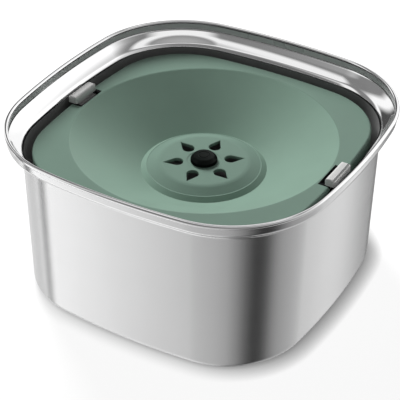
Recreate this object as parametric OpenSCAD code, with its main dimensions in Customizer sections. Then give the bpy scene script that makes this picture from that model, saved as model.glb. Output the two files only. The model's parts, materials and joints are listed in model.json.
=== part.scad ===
// No-spill drinking bowl for a dog: a drawn steel bowl with a floating plate held in by two sliding latches.
// Millimetres, Z up, origin at the middle of the resting face. X runs through the two latches.

/* [Bowl] */
// Width across the rim, from the middle of one side to the middle of the opposite side
rim_w = 240; // [220:1:260]
// Height from the resting face to the top of the rim
rim_h = 126; // [118:1:150]
// Radius of the long arc that each side of the rim follows
side_r = 490; // [430:10:700]
// Radius of the rim's corners
corner_r = 73; // [70:1:78]
// Thickness of the drawn sheet
sheet_t = 1; // [0.8:0.1:1.2]
// Radius of the rolled hem along the top of the rim
hem_r = 1.5; // [1.2:0.1:1.8]
// Height of the upright band below the top of the rim
band_h = 7.8; // [7:0.1:9]
// How far the sloping shoulder runs inward
shoulder_w = 10.2; // [9:0.1:11]
// How far the sloping shoulder drops
shoulder_drop = 7.9; // [6.5:0.1:9]
// How far the wall leans inward from the shoulder down to the base
wall_lean = 1.6; // [0.6:0.1:1.8]
// Bend radius at the foot of the wall
foot_r = 5; // [3:0.5:6]

/* [Base ring] */
// Outer radius of the non-slip ring
ring_r = 72; // [60:1:74]
// Width of the ring
ring_w = 20; // [12:1:24]
// Thickness of the ring
ring_t = 1.8; // [1.6:0.1:2.4]
// How far the ring stands out below the steel
ring_proud = 0.4; // [0.2:0.1:0.8]

/* [Float plate] */
// Gap between the edge of the plate and the bowl's wall just below the shoulder
plate_gap = 5.3; // [4.8:0.1:6]
// Depth of the plate's top face below the rim
plate_drop = 19.4; // [18.5:0.1:22]
// Wall thickness of the plate and its cover
skin_t = 2; // [1.8:0.1:2.3]
// Border between the dish and the edge of the plate at the middle of a side
border_w = 9.7; // [9.5:0.1:12]
// Depth of the conical dish
dish_depth = 26.2; // [24:0.2:28]
// Radius at the foot of the raised pod
pod_r = 44; // [42:0.5:46]
// Radius of the pod's flat top
pod_top_r = 31.4; // [30.5:0.1:34]
// Height of the pod above the bottom of the dish
pod_h = 5.6; // [4.5:0.1:7]
// Width of the steeper band round the pod's foot
pod_band_w = 3.8; // [2:0.1:5]
// Height of that band
pod_band_h = 2.6; // [1.8:0.1:3.2]
// Depth of the whole float below the plate's top face
float_d = 34.6; // [33.6:0.2:38]

/* [Water holes] */
// Number of teardrop holes
hole_count = 6; // [4:1:6]
// Distance from the middle to the point of a hole
hole_tip = 28; // [25:0.5:29]
// Distance from the middle to the round end of a hole
hole_root = 14.5; // [13:0.5:16]
// Width of the round end of a hole
hole_w = 8.4; // [6:0.2:9]
// Turn of the first hole away from the right latch, in degrees
hole_turn = 36; // [0:1:59]

/* [Centre cap] */
// Radius of the cap
cap_r = 9.4; // [8.6:0.1:10.4]
// Height of the cap above the pod
cap_h = 4.6; // [3.8:0.1:6]
// Radius of the cap's nearly flat top
cap_top_r = 7.2; // [6:0.1:7.6]
// Radius of the cap's stem
stem_r = 2.6; // [2:0.1:3]

/* [Latches] */
// Length of a latch along the edge of the plate
latch_w = 25; // [20:0.5:27]
// Height of the thumb block above the plate
block_h = 5.4; // [4:0.1:6]
// Depth of the thumb block from front to back
block_d = 6; // [5:0.1:6.4]
// Step from the top of the block down to the top of the tongue
tongue_step = 1; // [0.9:0.1:2]
// How far a latch slides inward
latch_travel = 3.6; // [3:0.1:4.8]

/* [Hidden] */
$fn = 96;
arc_fn = 360;
bend_steps = 6;
hem_steps = 7;
// running clearance between a latch and what it slides in
run_gap = 0.3;
// overlap of pieces of one solid
lap = 1;
cut = 20;

// outline of the rim: four long side arcs joined by four corner arcs
half_w = rim_w / 2;
arc_c = half_w - side_r;
arc_in = side_r - corner_r;
corner_c = (arc_c + sqrt(2 * arc_in * arc_in - arc_c * arc_c)) / 2;
turn_deg = atan2(corner_c, corner_c - arc_c);
corner_reach = corner_c * sqrt(2) + corner_r;

// middle line of the sheet, as distance from the rim outline and height
steel_z = ring_proud;
band_x = -hem_r;
band_foot_z = rim_h - band_h;
lip_x = band_x - shoulder_w;
lip_z = band_foot_z - shoulder_drop;
foot_x = lip_x - wall_lean;
floor_z = steel_z + sheet_t / 2;
// corner radius left where the swept wall ends and the flat floor begins
corner_seam_r = 25;
floor_x = corner_seam_r - corner_r;
band_bend = 2.5;
lip_bend = 4;
recess_step = ring_t - ring_proud;
recess_gap = 2;
recess_r = ring_r + recess_gap;
recess_slope = 3;
recess_seam = recess_r + recess_slope + lap;

// float plate and its cover
wall_in = lip_x - sheet_t / 2;
plate_x = wall_in - plate_gap;
plate_z = rim_h - plate_drop;
plate_half = half_w + plate_x;
dish_r = plate_half - border_w;
dish_z = plate_z - dish_depth;
pod_z = dish_z + pod_h;
dish_slope = atan2(dish_depth, dish_r - pod_r);
skin_z = skin_t / cos(dish_slope);
border_in = plate_x - (corner_reach + plate_x - dish_r) - lap;
bottom_z = plate_z - float_d;
tray_z = bottom_z + skin_t;
seal_t = 1;
tray_side_h = 10;
split_z = tray_z + tray_side_h;
plate_edge_r = 1.9;
under_bend = 0.3;
crisp = 0.01;
guide_h = 5;
guide_t = 1.5;
guide_gap = 0.3;
well_r = pod_r + 1;
well_split_z = tray_z + skin_t;
well_guide_h = 3;

// screws that hold the cover to the plate
post_r = 4.5;
post_set = 9.1;
post_at = (corner_reach + plate_x - skin_t - guide_t - guide_gap - post_set) / sqrt(2);
pad_r = 6.5;
pad_h = 3;
pad_z = tray_z + pad_h;
screw_r = 1.5;
screw_head_r = 3;
screw_head_h = 1.8;
screw_len = 14;
screw_gap = 0.4;
socket_r = 1.2;

// latch, its track and the pocket of the plate, for the latch at the +X side
tongue_gap = 0.6;
tongue_end = half_w + foot_x - sheet_t / 2 - tongue_gap;
latch_set = 5;
latch_in = plate_half - latch_set;
tongue_bend = 0.9;
step_bend = 0.3;
// bends of the block: above the tongue, along its inner edge and at its ends
brow_bend = 0.5;
thumb_bend = 3;
end_bend = 1.8;
plan_bend = 2.4;
tip_bend = 0.4;
low_bend = 0.2;
pocket_end_gap = 0.4;
pocket_in = latch_in - latch_travel - pocket_end_gap;
pocket_side_gap = 0.6;
pocket_hw = latch_w / 2 + pocket_side_gap;
pocket_d = 5.6;
pocket_z = plate_z - pocket_d;
pocket_wall = 1.6;
track_floor = 1;
track_side = 1;
track_lip = 2.4;
track_lip_t = 2.2;
track_drop = 0.2;
foot_hw = pocket_hw - track_side - run_gap;
neck_hw = pocket_hw - track_lip - run_gap;
track_z = pocket_z + track_floor;
lip_under_z = plate_z - track_drop - track_lip_t;
track_screw_at = 7.5;
track_screw_set = 4.5;
track_screw_x = plate_half - track_screw_set;
track_screw_r = 0.9;
track_head_r = 1.8;
track_head_h = 0.7;
track_screw_len = 5;
track_post_r = 2.4;

// cap and its clip
cap_dome = 0.3;
cap_side_h = 1.8;
cap_bend = 0.9;
// ring groove in the cap's top
cap_groove_r = 3.3;
cap_groove_w = 0.9;
cap_groove_d = 0.35;
stem_len = 3.4;
barb = 0.5;
barb_r = stem_r + barb;
clip_r = 6;
clip_t = 1;

function unit(v) = v / norm(v);

// Points of one rounded bend of a path at b, coming from a and going to c, set off to the left by side
function bend(a, b, c, r, side) =
    let (u = unit(b - a), w = unit(c - b), way = sign(cross(u, w)), deg = acos(u * w))
    let (start = b - u * r * tan(deg / 2), mid = start + way * r * [-u[1], u[0]])
    let (first = atan2(start[1] - mid[1], start[0] - mid[0]))
    [for (i = [0:bend_steps]) mid + (r - way * side)
        * [cos(first + way * deg * i / bend_steps), sin(first + way * deg * i / bend_steps)]];

// End of a path at a, set off to the left of the run from a to b
function end_point(a, b, from, side) = let (u = unit(b - a)) from + side * [-u[1], u[0]];

// One face of a sheet whose middle line runs through pts with the bend radii given
function sheet_face(pts, radii, side) =
    let (n = len(pts))
    concat([end_point(pts[0], pts[1], pts[0], side)],
        [for (i = [1:n - 2]) each bend(pts[i - 1], pts[i], pts[i + 1], radii[i], side)],
        [end_point(pts[n - 2], pts[n - 1], pts[n - 1], side)]);

function reversed(list) = [for (i = [len(list) - 1:-1:0]) list[i]];

// Closed outline with its corners rounded
function rounded(pts, radii) =
    let (n = len(pts))
    [for (i = [0:n - 1]) each bend(pts[(i + n - 1) % n], pts[i], pts[(i + 1) % n], radii[i], 0)];

// Sweeps a profile round the outline: x is the distance outward from the rim, y is the height
module around() {
    for (quarter = [0:3]) rotate(90 * quarter) {
        translate([arc_c, 0, 0])
            rotate(-turn_deg)
                rotate_extrude(angle = 2 * turn_deg, $fn = arc_fn)
                    translate([side_r, 0])
                        children();
        translate([corner_c, corner_c, 0])
            rotate(turn_deg)
                rotate_extrude(angle = 90 - 2 * turn_deg, $fn = arc_fn)
                    translate([corner_r, 0])
                        children();
    }
}

// Flat plate that fills the outline inside the given distance from the rim
module core(x, z, t) {
    translate([0, 0, z])
        linear_extrude(t)
            intersection_for (quarter = [0:3])
                rotate(90 * quarter)
                    translate([arc_c, 0])
                        circle(side_r + x, $fn = arc_fn);
}

module box(x, y, z) {
    translate([x[0], y[0], z[0]])
        cube([x[1] - x[0], y[1] - y[0], z[1] - z[0]]);
}

module at_posts() {
    for (quarter = [0:3]) rotate(90 * quarter)
        translate([post_at, post_at, 0])
            children();
}

module at_track_screws() {
    for (turn = [0, 180], side = [-1, 1]) rotate(turn)
        translate([track_screw_x, side * track_screw_at, 0])
            children();
}

// Points of the rolled hem, from the inner face of the sheet over the top to its outer face
function hem_points(mid, r, t) =
    let (lean = asin(t / r), sweep = 360 - 2 * lean)
    [for (i = [0:hem_steps]) let (deg = 270 - lean - sweep * i / hem_steps) mid + r * [cos(deg), sin(deg)]];

module bowl_shell() {
    top = [band_x, rim_h - hem_r];
    path = [top, [band_x, band_foot_z], [lip_x, lip_z], [foot_x, floor_z], [floor_x, floor_z]];
    radii = [0, band_bend, lip_bend, foot_r, 0];
    t = sheet_t / 2;
    outside = sheet_face(path, radii, t);
    inside = sheet_face(path, radii, -t);
    step = [[0, recess_step], [recess_r, recess_step], [recess_r + recess_slope, 0], [recess_seam, 0],
        [recess_seam, sheet_t], [recess_r + recess_slope + t, sheet_t], [recess_r + t, recess_step + sheet_t],
        [0, recess_step + sheet_t]];
    color("silver") union() {
        difference() {
            union() {
                around() polygon(concat([for (i = [1:len(outside) - 1]) outside[i]],
                    [for (i = [len(inside) - 1:-1:1]) inside[i]], hem_points(top, hem_r, t)));
                core(floor_x + lap, steel_z, sheet_t);
            }
            translate([0, 0, -cut]) cylinder(r = recess_seam - lap / 2, h = 2 * cut);
        }
        translate([0, 0, steel_z]) rotate_extrude() polygon(step);
    }
}

module base_ring() {
    color("dimgray") rotate_extrude()
        translate([ring_r - ring_w, 0])
            square([ring_w, ring_t]);
}

// Teardrop water holes, pointing outward
module water_holes(z, t) {
    r = hole_w / 2;
    mid = hole_root + r;
    lean = acos(r / (hole_tip - mid));
    translate([0, 0, z]) linear_extrude(t)
        for (i = [0:hole_count - 1]) rotate(hole_turn + 360 * i / hole_count) {
            translate([mid, 0]) circle(r, $fn = 48);
            polygon([[mid, 0], [mid + r * cos(lean), -r * sin(lean)], [hole_tip, 0],
                [mid + r * cos(lean), r * sin(lean)]]);
        }
}

module dish_skin() {
    rim = [dish_r, plate_z];
    seam = dish_r + 2 * lap;
    slant = (dish_r - pod_r) / dish_depth;
    collar_in_z = dish_z + (well_r - pod_r) / slant - skin_z;
    collar_out = well_r + skin_t;
    collar_out_z = dish_z + (collar_out - pod_r) / slant - skin_z;
    band = [pod_r - pod_band_w, dish_z + pod_band_h];
    rotate_extrude() polygon([[stem_r + guide_gap, pod_z], [pod_top_r, pod_z], band, [pod_r, dish_z], rim,
        [seam, plate_z], [seam, plate_z - skin_t], [dish_r, plate_z - skin_z], [collar_out, collar_out_z],
        [collar_out, well_split_z + seal_t], [well_r, well_split_z + seal_t], [well_r, collar_in_z],
        [pod_r, dish_z - skin_z], [pod_top_r, pod_z - skin_z], [stem_r + guide_gap, pod_z - skin_z]]);
}

module plate_border() {
    edge = rounded([[border_in, plate_z - skin_t], [plate_x - skin_t, plate_z - skin_t],
        [plate_x - skin_t, split_z + seal_t], [plate_x, split_z + seal_t], [plate_x, plate_z],
        [border_in, plate_z]], [crisp, under_bend, crisp, crisp, plate_edge_r, crisp]);
    difference() {
        around() polygon(edge);
        translate([0, 0, -cut]) cylinder(r = dish_r + lap, h = rim_h + cut);
    }
}

module float_plate() {
    wall_hw = pocket_hw + pocket_wall;
    color("darkseagreen") difference() {
        union() {
            plate_border();
            dish_skin();
            at_posts() translate([0, 0, pad_z]) cylinder(r = post_r, h = plate_z - lap - pad_z);
            for (turn = [0, 180]) rotate(turn)
                box([pocket_in - pocket_wall, plate_half - skin_t / 2], [-wall_hw, wall_hw],
                    [pocket_z - pocket_wall, plate_z - skin_t / 2]);
            at_track_screws() translate([0, 0, pocket_z - track_screw_len - pocket_wall])
                cylinder(r = track_post_r, h = track_screw_len);
        }
        for (turn = [0, 180]) rotate(turn)
            box([pocket_in, plate_half + cut], [-pocket_hw, pocket_hw], [pocket_z, plate_z + cut]);
        water_holes(pod_z - cut / 2, cut);
        at_posts() translate([0, 0, pad_z - lap]) cylinder(r = screw_r, h = screw_len + lap, $fn = 32);
        at_track_screws() translate([0, 0, pocket_z - track_screw_len])
            cylinder(r = track_screw_r, h = track_screw_len + lap, $fn = 24);
    }
}

module float_cover() {
    tray = [[border_in, bottom_z], [plate_x, bottom_z], [plate_x, split_z],
        [plate_x - skin_t - guide_gap, split_z],
        [plate_x - skin_t - guide_gap, split_z + seal_t + guide_h],
        [plate_x - skin_t - guide_gap - guide_t, split_z + seal_t + guide_h],
        [plate_x - skin_t - guide_gap - guide_t, tray_z], [border_in, tray_z]];
    guide_r = well_r + skin_t + guide_gap;
    well = [[well_r, bottom_z], [dish_r, bottom_z], [dish_r, tray_z], [guide_r + guide_t, tray_z],
        [guide_r + guide_t, well_split_z + well_guide_h], [guide_r, well_split_z + well_guide_h],
        [guide_r, well_split_z], [well_r, well_split_z]];
    head_z = bottom_z + screw_gap + screw_head_h;
    color("darkslategray") difference() {
        union() {
            difference() {
                around() polygon(tray);
                translate([0, 0, -cut]) cylinder(r = dish_r - lap, h = rim_h + cut);
            }
            rotate_extrude() polygon(well);
            at_posts() translate([0, 0, bottom_z]) cylinder(r = pad_r, h = pad_z - bottom_z);
        }
        at_posts() {
            translate([0, 0, bottom_z - lap])
                cylinder(r = screw_head_r + screw_gap, h = head_z - bottom_z + lap);
            translate([0, 0, bottom_z]) cylinder(r = screw_r + screw_gap, h = cut, $fn = 32);
        }
    }
}

module outer_seal() {
    color("dimgray") around()
        translate([plate_x - skin_t, split_z])
            square([skin_t - screw_gap, seal_t]);
}

module inner_seal() {
    color("dimgray") rotate_extrude()
        translate([well_r + screw_gap, well_split_z])
            square([skin_t - screw_gap, seal_t]);
}

// Pan-head screws driven up from below
module cover_screws() {
    head_z = bottom_z + screw_gap;
    color("gray") at_posts() difference() {
        union() {
            translate([0, 0, head_z]) cylinder(r = screw_head_r, h = screw_head_h, $fn = 48);
            translate([0, 0, head_z]) cylinder(r = screw_r, h = pad_z - head_z + screw_len, $fn = 32);
        }
        translate([0, 0, head_z - lap]) cylinder(r = socket_r, h = lap + screw_head_h / 2, $fn = 6);
    }
}

module centre_cap() {
    crown = pod_z + cap_h;
    clip_z = pod_z - skin_z - clip_t;
    end_z = pod_z - skin_z - stem_len;
    groove = [[cap_groove_r, crown], [cap_groove_r + cap_groove_w / 2, crown - cap_groove_d],
        [cap_groove_r + cap_groove_w, crown]];
    top_edge = [cap_top_r, crown - cap_dome];
    side_edge = [cap_r, pod_z + cap_side_h];
    side_foot = [cap_r, pod_z];
    color("black") rotate_extrude() polygon(concat([[0, crown]], groove,
        bend(groove[2], top_edge, side_edge, cap_bend, 0), bend(top_edge, side_edge, side_foot, cap_bend, 0),
        [side_foot, [stem_r, pod_z], [stem_r, clip_z], [barb_r, clip_z], [stem_r, end_z], [0, end_z]]));
}

module cap_clip() {
    color("gray") rotate_extrude()
        translate([stem_r, pod_z - skin_z - clip_t])
            square([clip_r - stem_r, clip_t]);
}

module track() {
    top_z = plate_z - track_drop;
    inner_hw = pocket_hw - track_side;
    lip_hw = pocket_hw - track_lip;
    difference() {
        box([pocket_in, plate_half - skin_t / 2], [-pocket_hw, pocket_hw], [pocket_z, top_z]);
        box([pocket_in - cut, plate_half + cut], [-lip_hw, lip_hw], [track_z, top_z + cut]);
        box([pocket_in - cut, plate_half + cut], [-inner_hw, inner_hw], [track_z, lip_under_z]);
        for (side = [-1, 1]) translate([track_screw_x, side * track_screw_at, pocket_z - lap]) {
            cylinder(r = track_screw_r + screw_gap / 2, h = 2 * lap + track_floor, $fn = 24);
            translate([0, 0, lap + track_floor - track_head_h])
                cylinder(r = track_head_r + screw_gap / 2, h = lap, $fn = 32);
        }
    }
}

module track_right() {
    color("black") track();
}

module track_left() {
    color("black") rotate(180) track();
}

module track_screws() {
    color("gray") at_track_screws() {
        translate([0, 0, track_z - track_head_h])
            cylinder(r = track_head_r, h = track_head_h, $fn = 32);
        translate([0, 0, pocket_z - track_screw_len])
            cylinder(r = track_screw_r, h = track_screw_len + track_floor - track_head_h, $fn = 24);
    }
}

// Slider with a foot in the track, a thumb block and a lower tongue that reaches out over the gap
module latch() {
    low_z = plate_z + run_gap;
    hw = latch_w / 2;
    step_x = latch_in + block_d;
    block_z = plate_z + block_h;
    tongue_z = block_z - tongue_step;
    side_view = rounded([[latch_in, low_z], [tongue_end, low_z], [tongue_end, tongue_z], [step_x, tongue_z],
        [step_x, block_z], [latch_in, block_z]],
        [low_bend, tip_bend, tongue_bend, step_bend, brow_bend, thumb_bend]);
    end_view = rounded([[-hw, low_z], [hw, low_z], [hw, block_z], [-hw, block_z]],
        [low_bend, low_bend, end_bend, end_bend]);
    plan = rounded([[latch_in, -hw], [tongue_end, -hw], [tongue_end, hw], [latch_in, hw]],
        [plan_bend, plan_bend, plan_bend, plan_bend]);
    intersection() {
        translate([0, hw + lap, 0]) rotate([90, 0, 0]) linear_extrude(latch_w + 2 * lap) polygon(side_view);
        translate([latch_in - lap, 0, 0]) rotate([90, 0, 90])
            linear_extrude(tongue_end - latch_in + 2 * lap) polygon(end_view);
        linear_extrude(rim_h) polygon(plan);
    }
    box([latch_in, plate_half - skin_t], [-neck_hw, neck_hw], [track_z + run_gap, low_z + lap]);
    box([latch_in, plate_half - skin_t], [-foot_hw, foot_hw], [track_z + run_gap, lip_under_z - run_gap]);
}

module latch_right() {
    color("lightgray") latch();
}

module latch_left() {
    color("lightgray") rotate(180) latch();
}

bowl_shell();
base_ring();
float_plate();
float_cover();
outer_seal();
inner_seal();
cover_screws();
centre_cap();
cap_clip();
track_left();
track_right();
track_screws();
latch_left();
latch_right();
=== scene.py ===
"""Dressed model of a no-spill dog bowl: a drawn steel bowl, a floating dished plate and sliding latches."""

import json
import logging
import math
from dataclasses import dataclass
from enum import Enum
from typing import Callable

import bmesh
import bpy
from mathutils import Matrix, Vector

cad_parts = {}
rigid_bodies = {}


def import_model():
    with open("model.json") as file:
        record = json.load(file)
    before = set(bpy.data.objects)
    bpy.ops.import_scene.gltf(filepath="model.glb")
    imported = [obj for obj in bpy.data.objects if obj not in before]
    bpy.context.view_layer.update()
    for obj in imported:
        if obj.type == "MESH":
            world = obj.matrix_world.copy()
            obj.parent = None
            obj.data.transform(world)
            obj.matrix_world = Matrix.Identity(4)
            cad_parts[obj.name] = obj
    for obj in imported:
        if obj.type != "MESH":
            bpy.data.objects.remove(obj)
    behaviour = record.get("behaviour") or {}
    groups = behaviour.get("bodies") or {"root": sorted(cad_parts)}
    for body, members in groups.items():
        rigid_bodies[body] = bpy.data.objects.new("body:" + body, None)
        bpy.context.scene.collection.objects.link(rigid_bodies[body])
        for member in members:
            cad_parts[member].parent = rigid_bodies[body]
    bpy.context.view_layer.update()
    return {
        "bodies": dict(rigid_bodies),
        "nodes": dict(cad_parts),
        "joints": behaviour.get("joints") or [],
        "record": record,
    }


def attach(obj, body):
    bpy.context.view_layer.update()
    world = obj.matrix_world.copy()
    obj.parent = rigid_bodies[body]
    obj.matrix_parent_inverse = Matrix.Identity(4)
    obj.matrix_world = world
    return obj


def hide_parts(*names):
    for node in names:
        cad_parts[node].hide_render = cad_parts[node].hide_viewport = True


MM = 0.001
STRAIGHT = 1e-6
FINE_DETAIL = 2.0
SOFT_DETAIL = 3.0
log = logging.getLogger("dog_bowl")

Point2 = tuple[float, float]
Point3 = tuple[float, float, float]
Socket = bpy.types.NodeSocket
Piece = bpy.types.Object
Face = bmesh.types.BMFace
EdgeTest = Callable[[bmesh.types.BMEdge], bool]
FaceTest = Callable[[Face], bool]


class Side(Enum):
    """Side of the bowl that a latch sits on, with the sign of its X."""

    RIGHT = 1
    LEFT = -1


class Pick(Enum):
    """What a selection takes, with the name of its list in a mesh."""

    EDGE = "edges"
    FACE = "faces"


class Join(Enum):
    """How a tool changes a piece, with the modifier's word for it."""

    ADD = "UNION"
    CUT = "DIFFERENCE"
    COMMON = "INTERSECT"


@dataclass(frozen=True)
class Arc:
    """One arc of a sweep: its centre in millimetres, its angle in radians and its number of steps."""

    centre: Point2
    angle: float
    steps: int


@dataclass(frozen=True)
class RimOutline:
    """Rounded square that the rim, the wall and the plate's edge follow, in millimetres."""

    half_w: float = 120.0
    side_r: float = 490.0
    corner_r: float = 73.0
    half_side_steps: int = 8
    corner_steps: int = 32

    @property
    def steps(self) -> int:
        """Number of steps in one whole turn."""
        return 4 * (2 * self.half_side_steps + self.corner_steps)

    def arcs(self) -> list[Arc]:
        """Lists the arcs of one turn, starting at the middle of the +X side.

        Returns:
            The arcs in order: half a side, a corner and half a side, four times.
        """
        arc_c = self.half_w - self.side_r
        arc_in = self.side_r - self.corner_r
        corner_c = (arc_c + math.sqrt(2 * arc_in**2 - arc_c**2)) / 2
        turn = math.atan2(corner_c, corner_c - arc_c)
        arcs: list[Arc] = []
        for quarter in range(4):
            cos_q = round(math.cos(quarter * math.pi / 2))
            sin_q = round(math.sin(quarter * math.pi / 2))
            for x, y, angle, steps in (
                (arc_c, 0.0, turn, self.half_side_steps),
                (corner_c, corner_c, math.pi / 2 - 2 * turn, self.corner_steps),
                (0.0, arc_c, turn, self.half_side_steps),
            ):
                centre = (x * cos_q - y * sin_q, x * sin_q + y * cos_q)
                arcs.append(Arc(centre, angle, steps))
        return arcs

    def at(self, points: list[Point2]) -> list[Point2]:
        """Turns distances from the rim into distances from the middle at the +X side."""
        return [(self.half_w + x, z) for x, z in points]


def full_turn(steps: int) -> list[Arc]:
    """Gives one whole turn about the Z axis as a single arc."""
    return [Arc((0.0, 0.0), 2 * math.pi, steps)]


def bend(a: Vector, b: Vector, c: Vector, r: float, side: float, steps: int) -> list[Point2]:
    """Rounds one corner of a path and sets it off to the left.

    Args:
        a: Point before the corner.
        b: The corner.
        c: Point after the corner.
        r: Radius of the bend, or 0 for a sharp corner.
        side: Distance that the path is set off to its left.
        steps: Number of steps in the bend.

    Returns:
        The points of the bend in order.
    """
    u = (b - a).normalized()
    w = (c - b).normalized()
    turn = math.atan2(u.x * w.y - u.y * w.x, u.dot(w))
    if r <= 0 or abs(turn) < STRAIGHT:
        mitre = side / math.cos(turn / 2)
        lean = math.atan2(u.y, u.x) + turn / 2 + math.pi / 2
        return [(b.x + mitre * math.cos(lean), b.y + mitre * math.sin(lean))]
    way = math.copysign(1.0, turn)
    start = b - u * r * math.tan(abs(turn) / 2)
    mid = start + way * r * Vector((-u.y, u.x))
    first = math.atan2(start.y - mid.y, start.x - mid.x)
    reach = r - way * side
    angles = [first + turn * i / steps for i in range(steps + 1)]
    return [(mid.x + reach * math.cos(t), mid.y + reach * math.sin(t)) for t in angles]


def run(points: list[Point2], radii: list[float], side: float = 0.0, steps: int = 8) -> list[Point2]:
    """Follows an open path with rounded corners, set off to its left.

    Args:
        points: Corners of the path.
        radii: Bend radius of each corner; those of the two ends aren't used.
        side: Distance that the path is set off to its left.
        steps: Number of steps in each bend.

    Returns:
        The points of the path in order.
    """
    vs = [Vector(p) for p in points]
    first = (vs[1] - vs[0]).normalized()
    last = (vs[-1] - vs[-2]).normalized()
    out = [(vs[0].x - side * first.y, vs[0].y + side * first.x)]
    for i in range(1, len(vs) - 1):
        out.extend(bend(vs[i - 1], vs[i], vs[i + 1], radii[i], side, steps))
    out.append((vs[-1].x - side * last.y, vs[-1].y + side * last.x))
    return out


def ring(points: list[Point2], radii: list[float], steps: int = 8) -> list[Point2]:
    """Rounds the corners of a closed outline.

    Args:
        points: Corners of the outline.
        radii: Bend radius of each corner.
        steps: Number of steps in each bend.

    Returns:
        The points of the outline in order.
    """
    vs = [Vector(p) for p in points]
    out: list[Point2] = []
    for i, r in enumerate(radii):
        out.extend(bend(vs[i - 1], vs[i], vs[(i + 1) % len(vs)], r, 0.0, steps))
    return out


class Bench:
    """Modelling steps that the pieces share, all of them by operators."""

    SEAM_GAP = 0.008 * MM
    WELD_GAP = 0.004 * MM
    LEVEL_GAP = 0.02 * MM

    @staticmethod
    def begin(name: str) -> Piece:
        """Adds an empty mesh piece at the origin and opens it for editing.

        Args:
            name: Name of the piece.

        Returns:
            The piece, in edit mode, with nothing in its mesh.
        """
        bpy.ops.object.select_all(action="DESELECT")
        bpy.ops.mesh.primitive_plane_add(size=MM, location=(0, 0, 0))
        piece = bpy.context.active_object
        piece.name = name
        piece.data.name = name
        bpy.ops.object.mode_set(mode="EDIT")
        bpy.ops.mesh.select_all(action="SELECT")
        bpy.ops.mesh.delete(type="VERT")
        bpy.ops.mesh.select_mode(type="VERT")
        return piece

    @staticmethod
    def chain(points: list[Vector]) -> None:
        """Draws a chain of edges by extruding one vertex from point to point, and leaves it selected.

        Args:
            points: Points of the chain, in metres.
        """
        bpy.ops.mesh.select_mode(type="VERT")
        bpy.ops.mesh.select_all(action="DESELECT")
        bpy.ops.mesh.primitive_plane_add(size=MM / 10, location=points[0])
        bpy.ops.mesh.merge(type="CENTER")
        for a, b in zip(points, points[1:]):
            bpy.ops.mesh.extrude_vertices_move(TRANSFORM_OT_translate={"value": b - a})
        bpy.ops.mesh.select_linked()

    @staticmethod
    def sweep(profile: list[Point2], arcs: list[Arc]) -> None:
        """Draws a profile in the XZ plane, spins it along arcs and closes the seam.

        Args:
            profile: Distances from the middle and heights, in millimetres.
            arcs: Arcs to follow, one after the other.
        """
        Bench.chain([Vector((x, 0.0, z)) * MM for x, z in profile])
        for arc in arcs:
            centre = (arc.centre[0] * MM, arc.centre[1] * MM, 0.0)
            bpy.ops.mesh.spin(
                steps=arc.steps, angle=arc.angle, center=centre, axis=(0, 0, -1), use_auto_merge=False
            )
        bpy.ops.mesh.select_linked()
        bpy.ops.mesh.remove_doubles(threshold=Bench.SEAM_GAP)

    @staticmethod
    def pick(piece: Piece, kind: Pick, test: EdgeTest | FaceTest) -> None:
        """Selects the edges or faces that pass a test, and nothing else.

        Args:
            piece: Piece in edit mode.
            kind: Edges or faces.
            test: Test on one of them.
        """
        bpy.ops.mesh.select_mode(type=kind.name)
        bpy.ops.mesh.select_all(action="DESELECT")
        mesh = bmesh.from_edit_mesh(piece.data)
        for item in getattr(mesh, kind.value):
            if test(item):
                item.select_set(True)
        bmesh.update_edit_mesh(piece.data)

    @staticmethod
    def pick_open(piece: Piece, z: float, r: float = math.inf) -> None:
        """Selects the open edges that lie at one height and within a radius.

        Args:
            piece: Piece in edit mode.
            z: Height of the edges, in millimetres.
            r: Radius that they lie within, in millimetres.
        """

        def meets(vert: bmesh.types.BMVert) -> bool:
            """Tells a vertex at the height and within the radius."""
            return abs(vert.co.z - z * MM) < Bench.LEVEL_GAP and vert.co.xy.length < r * MM

        Bench.pick(piece, Pick.EDGE, lambda edge: edge.is_boundary and all(map(meets, edge.verts)))

    @staticmethod
    def web(piece: Piece, z: float) -> None:
        """Fills the flat band between the two open loops that lie at one height, in millimetres."""
        Bench.pick_open(piece, z)
        bpy.ops.mesh.fill(use_beauty=True)

    @staticmethod
    def fill_inside(piece: Piece, r: float, z: float) -> None:
        """Fills the open loop inside a radius at one height with a face, both in millimetres."""
        Bench.pick_open(piece, z, r)
        bpy.ops.mesh.edge_face_add()

    @staticmethod
    def close() -> None:
        """Merges doubles, turns the faces outward and leaves edit mode."""
        bpy.ops.mesh.select_all(action="SELECT")
        bpy.ops.mesh.remove_doubles(threshold=Bench.WELD_GAP)
        bpy.ops.mesh.normals_make_consistent(inside=False)
        bpy.ops.object.mode_set(mode="OBJECT")

    @staticmethod
    def smooth(piece: Piece, angle: float) -> None:
        """Smooths a piece, keeps its sharp edges and lets its large faces set the normals.

        Args:
            piece: Piece in object mode.
            angle: Edges sharper than this many degrees stay sharp.
        """
        Bench.only(piece)
        bpy.ops.object.shade_smooth_by_angle(angle=math.radians(angle))
        bpy.ops.object.modifier_add(type="WEIGHTED_NORMAL")
        piece.modifiers[-1].keep_sharp = True
        bpy.ops.object.modifier_apply(modifier=piece.modifiers[-1].name)

    @staticmethod
    def only(piece: Piece) -> None:
        """Selects one piece alone and makes it active.

        Args:
            piece: Piece in object mode.
        """
        bpy.ops.object.select_all(action="DESELECT")
        piece.select_set(True)
        bpy.context.view_layer.objects.active = piece

    @staticmethod
    def boolean(piece: Piece, tool: Piece, how: Join) -> None:
        """Joins or cuts a piece with a tool and removes the tool.

        Args:
            piece: Piece to change, in object mode.
            tool: Closed mesh that joins or cuts it.
            how: Way in which the tool changes the piece.
        """
        Bench.only(piece)
        bpy.ops.object.modifier_add(type="BOOLEAN")
        modifier = piece.modifiers[-1]
        modifier.operation = how.value
        modifier.solver = "MANIFOLD"
        modifier.object = tool
        bpy.ops.object.modifier_apply(modifier=modifier.name)
        bpy.data.objects.remove(tool)

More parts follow.
